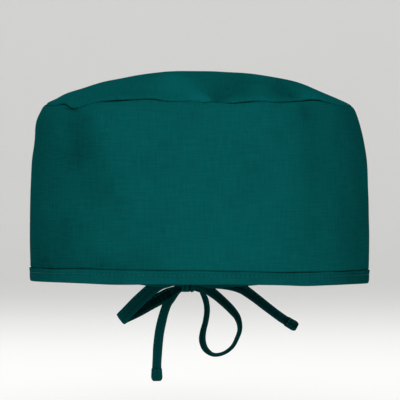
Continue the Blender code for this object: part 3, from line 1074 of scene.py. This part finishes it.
# The tape's edge wavers above this height, and puffs out between the stitches. They draw the tape in, with
# painted shade in the pull, and lie a little above its groove
EDGE_WAVER_FROM = 5.0
EDGE_WAVER_OVER = 2.2
PUFF = 0.10
PUFF_UP = 6.3
STITCH_PULL = 0.10
STITCH_PULL_REACH = 0.8
PAINTED_STITCH_SHADE = 0.25
GROOVE_PROUD = 0.16
STITCH_LIFT = 0.06


def rim_binding(look):
    """Folded tape round the rim, drawn in a little between its stitches."""
    azimuth = even_azimuths(STITCH_PITCH / 4, RIM_STITCH_UP)[:, None]
    proud, up = columns(BINDING_OUTLINE)
    run = girth(azimuth, RIM_STITCH_UP)
    outer = proud > 0
    pull = bell((up - RIM_STITCH_UP) / STITCH_PULL_REACH) * outer
    between = (1 + np.cos(2 * math.pi * (run - run[0]) / STITCH_PITCH)) / 2
    base = smooth_point(azimuth, up)
    level = base * np.array((1, 1, 0))
    edge = ease((up - EDGE_WAVER_FROM) / EDGE_WAVER_OVER) * ripples(level, BINDING_EDGE_RIPPLES)
    puff = ripples(base, BINDING_RIPPLES) + PUFF * (1 - between) * bell(up - PUFF_UP)
    relief = proud + np.where(outer, puff, 0.0) - STITCH_PULL * pull * between
    points = base + normal(azimuth, up) * relief[..., None]
    points[..., 2] += edge - rim_drop(azimuth, up)
    around = distances(np.array(BINDING_OUTLINE))[None, :]
    places = np.stack(np.broadcast_arrays(run, around), axis=-1)
    # Painted shade on the tape, most towards +X, and in the pulls of its stitches
    painted_light_and_shade = by_azimuth(RIM_COLUMNS, RIM, azimuth)["painted_tape_shade"] + PAINTED_STITCH_SHADE * pull * between
    return tube_mesh("rim_binding_tape", points, places, painted_light_and_shade, look)


# A tie starts just inside the binding's end, comes out clear of the hem over a share of its way to the
# knot, and drops as it goes. Its face turns the way the cloth does at this height
LEAD_OVERLAP = 0.6
LEAD_COUNT = 9
LEAD_DROP = 2.2
LEAD_RISE = 0.1
LEAD_OUT = TAPE_THICKNESS + GAP * 0.4
LEAD_OUT_OVER = 0.3
LEAD_FACE_UP = 3.0


def lead_rows(side):
    """The tie from the binding's end to the knot's side, along the outside of the nape hem."""
    start = BAND_END - LEAD_OVERLAP
    knot_side = KNOT_CENTRE[0] + side * (KNOT_SIZE[0] / 2 + GAP)
    end = 180 - math.degrees(math.atan2(side * knot_side, SECTIONS[0][3]))
    share = np.linspace(0, 1, LEAD_COUNT)
    azimuth = side * (start + (end - start) * share)
    out = BINDING_PROUD - TAPE_THICKNESS / 2 + LEAD_OUT * ease(share / LEAD_OUT_OVER)
    middle = LEAD_RISE - LEAD_DROP * ease(share) + TAPE_WIDTH / 2
    points = smooth_point(azimuth, middle) + normal(azimuth, LEAD_FACE_UP) * out[:, None]
    upright = (90.0, 90.0)
    return [(*point, *upright) for point in points.tolist()]


def knot_turn(before, after, deepest):
    """Rows of a tape that turns back inside the knot, between the row before it and the row after it."""
    rows = []
    for share, depth in KNOT_TURN:
        place = [a + (b - a) * share for a, b in zip(before, after)]
        place[0] += (deepest - place[0]) * depth
        rows.append(tuple(place))
    return rows


def tie_rows(lead, loop, tail, turns):
    """The whole tie: lead, turn in the knot, loop, turn in the knot, tail. Also the knot's row numbers."""
    into_loop = knot_turn(lead[-1], loop[0], turns[0])
    shift = 360 * round((loop[-1][4] - tail[0][4]) / 360)
    tail = [(*row[:4], row[4] + shift) for row in tail]
    into_tail = knot_turn(loop[-1], tail[0], turns[1])
    rows = lead + into_loop + list(loop) + into_tail + tail
    first = len(lead) - 1
    second = len(lead) + len(into_loop) + len(loop) - 1
    return rows, ((first, first + len(into_loop) + 1), (second, second + len(into_tail) + 1))


# The distance between rows of points along a tie, and those near its tip, by their distance from its end
TIE_STEP = 0.8
TIP_ROWS = (TIP_FOLD + 0.3, TIP_FOLD, TIP_FOLD - 0.3, 2.8, 2.2, 1.7, 1.2, 0.9, 0.6, 0.35, 0.15, 0.06)


def tape_frames(rows):
    """Centres along a tape's route, and at each its directions across, out of its face and along."""
    table = np.array(rows, float)
    places = distances(table[:, :3])
    at = np.linspace(0, places[-1], round(places[-1] / TIE_STEP) + 1)
    at = np.unique(np.concatenate((at, places[-1] - np.array(TIP_ROWS))))
    *centres, turn, slant = (through(places, column, at) for column in table.T)
    centres = np.stack(centres, axis=-1)
    turn, slant = np.radians(turn), np.radians(slant)
    along = unit(np.gradient(centres, axis=0))
    wide = np.stack((np.sin(turn) * np.cos(slant), np.cos(turn), np.sin(turn) * np.sin(slant)), axis=-1)
    wide = unit(wide - along * np.sum(wide * along, axis=-1, keepdims=True))
    return centres, wide, np.cross(along, wide), along, places


# The tip: how far its turned-back end is wider and thicker, how much its corners take off, how thin its
# last row is, and how dark the painted shadow line at the fold is
TIP_FOLD_OVER = 0.3
TIP_WIDER = 0.08
TIP_THICKER = 0.55
TIP_CORNERS_TAKE = 0.6
TIP_END_THICKNESS = 0.55
PAINTED_TIP_FOLD_SHADOW = 0.8

# Across a cupped tape the middle lies lower than its edges: the share of the half width, squared, where
# the two balance
CUP_BALANCE = 0.4

# Half outline of the ties' folded tape, from the fold to the stitched edge, in shares of its half sizes
# Columns: across, half_thickness, painted light and shade (painted shade in the crease and the stitched
# groove, painted highlight, below 0, along the edges)
TAPE_OUTLINE = (
    (-1.0, 0.0, -0.3),
    (-0.975, 0.55, -0.35),
    (-0.88, 0.92, -0.3),
    (-0.68, 1.06, 0.0),
    (-0.4, 1.0, 0.1),
    (-0.2, 0.84, 0.45),
    (0.0, 0.98, 0.1),
    (0.46, 0.96, 0.1),
    (0.62, 0.6, 0.75),
    (0.74, 0.84, 0.0),
    (0.9, 0.82, -0.35),
    (0.99, 0.5, -0.3),
    (0.975, 0.0, -0.2),
)


def tie_shape(rows, knots):
    """What a tie's tape and its stitches share: centres, directions, half sizes and the spans in the knot."""
    centres, wide, out, along, places = tape_frames(rows)
    run = distances(centres)
    spans = [(places[first], places[last]) for first, last in knots]
    away = [np.maximum(np.maximum(start - run, run - end), 0.0) for start, end in spans]
    free = ease(np.minimum(*away) / NIP_LENGTH)
    to_end = run[-1] - run
    tip = ease((TIP_FOLD - to_end) / TIP_FOLD_OVER)
    corner = 1 - np.sqrt(1 - (1 - np.clip(to_end / TIP_CORNER, 0, 1)) ** 2)
    half_width = TAPE_WIDTH / 2 * (NIP_WIDTH + (1 - NIP_WIDTH) * free)
    half_width = half_width * (1 + ripples(centres, TIE_WIDTH_RIPPLES))
    return SimpleNamespace(
        centres=centres,
        wide=wide,
        out=out,
        along=along,
        run=run,
        spans=spans,
        half_width=half_width * (1 + TIP_WIDER * tip) * (1 - TIP_CORNERS_TAKE * corner),
        half_thick=TAPE_FOLDED / 2 * (1 + TIP_THICKER * tip),
        cup=ripples(centres, TIE_CUP_RIPPLES) * free,
    )


def tie_tape(name, shape, painted_shades, look):
    """A folded tape, a little cupped across, thicker where its end is turned back and sewn."""
    lower = [(across, -thick, painted_light_and_shade) for across, thick, painted_light_and_shade in TAPE_OUTLINE[-2:0:-1]]
    across, thick, painted_light_and_shade_across = columns((*TAPE_OUTLINE, *lower))
    half_thick = shape.half_thick.copy()
    half_thick[-1] *= TIP_END_THICKNESS
    u = shape.half_width[:, None] * across
    v = half_thick[:, None] * thick + shape.cup[:, None] * (across**2 - CUP_BALANCE)
    rings = shape.centres[:, None, :] + shape.wide[:, None, :] * u[..., None]
    rings = rings + shape.out[:, None, :] * v[..., None]
    section = np.stack((across * TAPE_WIDTH / 2, thick * TAPE_FOLDED / 2), axis=-1)
    places = np.stack(np.broadcast_arrays(shape.run[:, None], distances(section)[None, :]), axis=-1)
    # Painted shade along the tie and a painted shadow line at the tip's fold, over the painted light and
    # shade across the tape
    painted_fold_shadow = PAINTED_TIP_FOLD_SHADOW * bell((shape.run[-1] - shape.run - TIP_FOLD) / TIP_FOLD_OVER)
    painted_light_and_shade = painted_light_and_shade_across + (through(*columns(painted_shades), shape.run) + painted_fold_shadow)[:, None]
    return tube_mesh(name, rings[:, ::-1], places[:, ::-1], painted_light_and_shade[:, ::-1], look)


def tie_stitch_places(shape):
    """Stitches along both faces of a tie's open edge and across its turned end, none inside the knot."""
    places, directions, outs = [], [], []

    def sew(at, across, direction, seat):
        i = int(np.argmin(np.abs(shape.run - at)))
        side = shape.wide[i] * shape.half_width[i] * across
        for face in (1, -1):
            height = face * (shape.half_thick[i] * seat[0] + seat[1])
            height += shape.cup[i] * (across**2 - CUP_BALANCE)
            places.append(shape.centres[i] + side + shape.out[i] * height)
            directions.append(direction[i])
            outs.append(shape.out[i] * face)

    for at in np.arange(TIE_STITCH_START, shape.run[-1] - TIE_STITCH_STOP, STITCH_PITCH):
        if not any(start - KNOT_CLEAR < at < end + KNOT_CLEAR for start, end in shape.spans):
            sew(at, TAPE_STITCH_ACROSS, shape.along, EDGE_STITCH_SEAT)
    for across in TIP_STITCHES_ACROSS:
        at = shape.run[-1] - TIP_FOLD + TIP_STITCHES_BEYOND_FOLD
        sew(at, across, shape.wide, TIP_STITCH_SEAT)
    return places, directions, outs


# The knot: its creases across its length (columns: depth, middle, lean, width) and how much they vary
# round it, its lumps (columns: size, times round, twist along, shift), how square its section is, how
# far its ends draw in, and how dark the painted shade in its creases is
KNOT_CREASES = (
    (0.20, 0.34, 1, 0.09),
    (0.17, -0.38, 1, 0.08),
    (0.05, 0.02, -1, 0.06),
)
KNOT_CREASES_VARY = 0.25
KNOT_LUMPS = (
    (0.035, 3, 2.2, 0),
    (0.03, 2, -4, 1),
)
KNOT_LEAN = 0.16
KNOT_LEAN_SHIFT = 0.6
KNOT_SQUARE = 2.8
KNOT_ENDS = 0.60
KNOT_END_ROUNDNESS = 2.6
KNOT_TRIM = 0.15
KNOT_SINK = 0.03
KNOT_ROWS = 49
KNOT_SIDES = 64
PAINTED_KNOT_SHADE = 4.0


def bow_knot(look):
    """The knot: turns of tape drawn tight round the bundle, the creases between them running round it."""
    t = np.linspace(-1, 1, KNOT_ROWS)[:, None]
    angle = np.linspace(0, 2 * math.pi, KNOT_SIDES, endpoint=False)[None, :]
    half = [size / 2 - KNOT_TRIM for size in KNOT_SIZE]
    body = KNOT_ENDS + (1 - KNOT_ENDS) * np.sqrt(np.clip(1 - np.abs(t) ** KNOT_END_ROUNDNESS, 0, 1))
    lean = KNOT_LEAN * np.sin(angle + KNOT_LEAN_SHIFT)
    creases = sum(
        depth * bell((t - middle - way * lean) / width) for depth, middle, way, width in KNOT_CREASES
    )
    lumps = sum(
        size * np.sin(times * angle + twist * t + shift) for size, times, twist, shift in KNOT_LUMPS
    )
    varied = creases * (1 - KNOT_CREASES_VARY + KNOT_CREASES_VARY * np.sin(2 * angle + 1))
    size = body * (1 - varied) + lumps - KNOT_SINK
    corners = np.abs(np.cos(angle)) ** KNOT_SQUARE + np.abs(np.sin(angle)) ** KNOT_SQUARE
    square = corners ** (-1 / KNOT_SQUARE)
    y = half[1] * square * np.cos(angle) * size
    z = half[2] * square * np.sin(angle) * size
    x = half[0] * np.broadcast_to(t, y.shape)
    points = np.stack((x, y, z), axis=-1) + np.array(KNOT_CENTRE)
    places = np.stack(np.broadcast_arrays(angle * KNOT_SIZE[1] / 2, t * half[0]), axis=-1)
    # Painted shade in the knot's creases
    shade = PAINTED_KNOT_SHADE * creases
    return tube_mesh("bow_knot_tape", points[:, ::-1], places[:, ::-1], shade[:, ::-1], look)


def stitch_tree():
    """A node tree that lays one stitch on each point, along its direction, and makes them real mesh."""
    tree = bpy.data.node_groups.new("Row of stitches", "GeometryNodeTree")
    wanted = {
        "Geometry": "Geometry",
        "Stitch length": "Float",
        "Thread width": "Float",
        "Unevenness": "Float",
        "Seed": "Int",
        "Thread": "Material",
    }
    for name, kind in wanted.items():
        tree.interface.new_socket(name, in_out="INPUT", socket_type="NodeSocket" + kind)
    tree.interface.new_socket("Geometry", in_out="OUTPUT", socket_type="NodeSocketGeometry")
    given = add_node(tree, "NodeGroupInput").outputs
    bead = add_node(tree, "GeometryNodeMeshUVSphere", {"Segments": 8, "Rings": 6, "Radius": 0.5})
    sizes = {"X": given["Stitch length"], "Y": given["Thread width"], "Z": given["Thread width"]}
    size = add_node(tree, "ShaderNodeCombineXYZ", sizes).outputs["Vector"]
    stitch = add_node(tree, "GeometryNodeTransform", {"Geometry": bead.outputs["Mesh"], "Scale": size})

    stored = {}
    for name in ("along", "outwards"):
        read = add_node(tree, "GeometryNodeInputNamedAttribute", {"Name": name}, data_type="FLOAT_VECTOR")
        stored[name] = read.outputs["Attribute"]
    lying = add_node(tree, "FunctionNodeAlignRotationToVector", {"Vector": stored["along"]}, axis="X")
    facing = add_node(
        tree,
        "FunctionNodeAlignRotationToVector",
        {"Rotation": lying.outputs["Rotation"], "Vector": stored["outwards"]},
        axis="Z",
        pivot_axis="X",
    )
    least = maths(tree, "MULTIPLY", given["Unevenness"], -1.0)
    spread = {2: least, 3: given["Unevenness"], "Seed": given["Seed"]}
    chance = add_node(tree, "FunctionNodeRandomValue", spread, data_type="FLOAT").outputs[1]
    lean = add_node(tree, "FunctionNodeAxisAngleToRotation", {"Axis": (0.0, 0.0, 1.0), "Angle": chance})
    turned_stitch = add_node(
        tree,
        "FunctionNodeRotateRotation",
        {"Rotation": facing.outputs["Rotation"], "Rotate By": lean.outputs["Rotation"]},
        rotation_space="LOCAL",
    )
    row = {
        "Points": given["Geometry"],
        "Instance": stitch.outputs["Geometry"],
        "Rotation": turned_stitch.outputs["Rotation"],
    }
    laid = add_node(tree, "GeometryNodeInstanceOnPoints", row).outputs["Instances"]
    real = add_node(tree, "GeometryNodeRealizeInstances", {"Geometry": laid}).outputs["Geometry"]
    smooth = add_node(tree, "GeometryNodeSetShadeSmooth", {"Geometry": real}).outputs["Geometry"]
    dressed = add_node(tree, "GeometryNodeSetMaterial", {"Geometry": smooth, "Material": given["Thread"]})
    add_node(tree, "NodeGroupOutput", {"Geometry": dressed.outputs["Geometry"]})
    return tree


def stitches(name, looks, places, directions, outs, seed):
    """A piece of real mesh with one stitch at each place."""
    mesh = bpy.data.meshes.new(name + "_places")
    mesh.from_pydata((np.array(places) * MM).tolist(), [], [])
    for attribute, vectors in (("along", directions), ("outwards", outs)):
        stored = mesh.attributes.new(attribute, "FLOAT_VECTOR", "POINT")
        stored.data.foreach_set("vector", np.array(vectors, np.float32).ravel())
    rows = place_object(name + "_places", mesh)
    sewing = rows.modifiers.new("Sewing", "NODES")
    sewing.node_group = looks.stitch_tree
    values = {
        "Stitch length": STITCH_LENGTH * MM,
        "Thread width": THREAD * MM,
        "Unevenness": STITCH_LEAN,
        "Seed": seed,
        "Thread": looks.thread,
    }
    for item in looks.stitch_tree.interface.items_tree:
        if item.in_out == "INPUT" and item.name in values:
            sewing[item.identifier] = values[item.name]
    seen = bpy.context.evaluated_depsgraph_get()
    made = place_object(name, bpy.data.meshes.new_from_object(rows.evaluated_get(seen)))
    bpy.data.objects.remove(rows, do_unlink=True)
    return made


def rim_stitches(looks):
    """The row of topstitching along the binding. It follows the tape's waver."""
    azimuth = even_azimuths(STITCH_PITCH, RIM_STITCH_UP)
    middle = (azimuth[:-1] + azimuth[1:]) / 2
    base = smooth_point(middle, RIM_STITCH_UP)
    outs = normal(middle, RIM_STITCH_UP)
    places = base + outs * (GROOVE_PROUD + ripples(base, BINDING_RIPPLES) + STITCH_LIFT)[:, None]
    places[:, 2] -= rim_drop(middle, RIM_STITCH_UP)
    ahead = smooth_point(middle + RIM_ROW_STEP, RIM_STITCH_UP)
    directions = unit(ahead - smooth_point(middle - RIM_ROW_STEP, RIM_STITCH_UP))
    return stitches("rim_stitches", looks, places, directions, outs, 1)


def hem_stitches(looks):
    """The row that closes the nape hem. It follows the gathers."""
    ends_at = BAND_END + HEM_STITCH_INSET
    azimuth = np.arange(ends_at, 360 - ends_at, HEM_STITCH_STEP)

    def surface(at):
        base = smooth_point(at, HEM_STITCH_UP)
        hidden = under_band(at)
        lift = crown_relief(base, at, np.full(at.shape, HEM_STITCH_UP))
        lift = lift - HEM_STITCH_SUNK * (1 - hidden) - HEM_STITCH_TUCKED * hidden
        return base + normal(at, HEM_STITCH_UP) * (lift + HEM_STITCH_LIFT)[:, None]

    directions = unit(surface(azimuth + HEM_ROW_STEP) - surface(azimuth - HEM_ROW_STEP))
    outs = normal(azimuth, HEM_STITCH_UP)
    return stitches("nape_hem_stitches", looks, surface(azimuth), directions, outs, 2)


def stage(paper):
    """A pale paper floor all round the cap, far wider than the view, whose edge curves up into a wall."""
    profile = [(reach, 0.0) for reach in FLOOR_RINGS]
    for i in range(1, FLOOR_EDGE_STEPS + 1):
        angle = math.pi / 2 * i / FLOOR_EDGE_STEPS
        out, up = FLOOR_EDGE_CURVE * math.sin(angle), FLOOR_EDGE_CURVE * (1 - math.cos(angle))
        profile.append((FLOOR_RINGS[-1] + out, up))
    points = [(0.0, 0.0, FLOOR)]
    for reach, rise in profile:
        for j in range(FLOOR_SIDES):
            angle = 2 * math.pi * j / FLOOR_SIDES
            points.append((reach * math.cos(angle), reach * math.sin(angle), FLOOR + rise))
    faces = [(0, 1 + j, 1 + (j + 1) % FLOOR_SIDES) for j in range(FLOOR_SIDES)]
    for i in range(len(profile) - 1):
        inner, outer = 1 + i * FLOOR_SIDES, 1 + (i + 1) * FLOOR_SIDES
        for j in range(FLOOR_SIDES):
            beside = (j + 1) % FLOOR_SIDES
            faces.append((inner + j, outer + j, outer + beside, inner + beside))
    mesh = bpy.data.meshes.new("studio_floor")
    mesh.from_pydata(points, [], faces)
    mesh.materials.append(paper)
    mesh.shade_smooth()
    place_object("studio_floor", mesh)


def studio():
    """A broad soft light in front, a little above the rim, one overhead and behind, and even fill."""
    for name, place, power in SOFTBOXES:
        data = bpy.data.lights.new(name, "AREA")
        data.size = SOFTBOX_SIZE
        data.energy = power
        light = place_object(name, data)
        light.location = place
        light.rotation_euler = (Vector(SOFTBOX_AIM) - Vector(place)).to_track_quat("-Z", "Y").to_euler()
        light.visible_camera = False
    world = bpy.data.worlds.new("Studio")
    world.use_nodes = True
    world.node_tree.nodes["Background"].inputs["Color"].default_value = (1, 1, 1, 1)
    world.node_tree.nodes["Background"].inputs["Strength"].default_value = FILL
    bpy.context.scene.world = world
    bpy.context.scene.view_settings.view_transform = "Standard"


def camera():
    data = bpy.data.cameras.new("Camera")
    data.lens = CAMERA_LENS
    data.sensor_width = 36.0
    data.clip_end = 30.0
    seen = place_object("Camera", data)
    seen.location = CAMERA_PLACE
    seen.rotation_euler = (math.radians(90), 0, 0)
    bpy.context.scene.camera = seen


def dress(piece, slot, *nodes):
    """A finished piece moves with the cap and stands for CAD nodes. Its slot is not used."""
    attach(piece, "root")
    if nodes:
        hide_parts(*nodes)
    return piece


def tie(side_name, side, route, painted_shades, looks, seed):
    """One tie, whole: its tape and its stitches."""
    shape = tie_shape(*tie_rows(lead_rows(side), *route))
    piece = tie_tape("tie_" + side_name, shape, painted_shades, looks.tie)
    nodes = ("tie_lead_" + side_name, "bow_loop_" + side_name, "tie_tail_" + side_name)
    dress(piece, "folded_tape", *nodes)
    sewn = stitches("tie_stitches_" + side_name, looks, *tie_stitch_places(shape), seed)
    dress(sewn, "folded_tape")


def main():
    looks = SimpleNamespace(
        cloth=cloth_material("Woven poly-cotton", CLOTH_DYE),
        tape=cloth_material("Folded poly-cotton tape", TAPE_DYE),
        # The ties' material is the cloth painted darker: painted shade
        tie=cloth_material("Folded poly-cotton tie tape", SHADED_TIE_DYE),
        thread=thread_material(),
        stitch_tree=stitch_tree(),
    )
    camera()
    studio()
    stage(paper_material())

    knot = dress(bow_knot(looks.tie), "folded_tape", "bow_knot")
    tie("left", -1, (LOOP_LEFT, TAIL_LEFT, TURNS_LEFT), PAINTED_SHADES_LEFT, looks, 3)
    tie("right", 1, (LOOP_RIGHT, TAIL_RIGHT, TURNS_RIGHT), PAINTED_SHADES_RIGHT, looks, 4)

    band = dress(front_panel(looks.cloth), "cap_cloth", "front_panel")
    crown = dress(crown_panel(looks.cloth), "cap_cloth", "crown_panel")
    binding = dress(rim_binding(looks.tape), "folded_tape", "rim_binding")
    rim_row = dress(rim_stitches(looks), "folded_tape")
    hem_row = dress(hem_stitches(looks), "cap_cloth")


main()
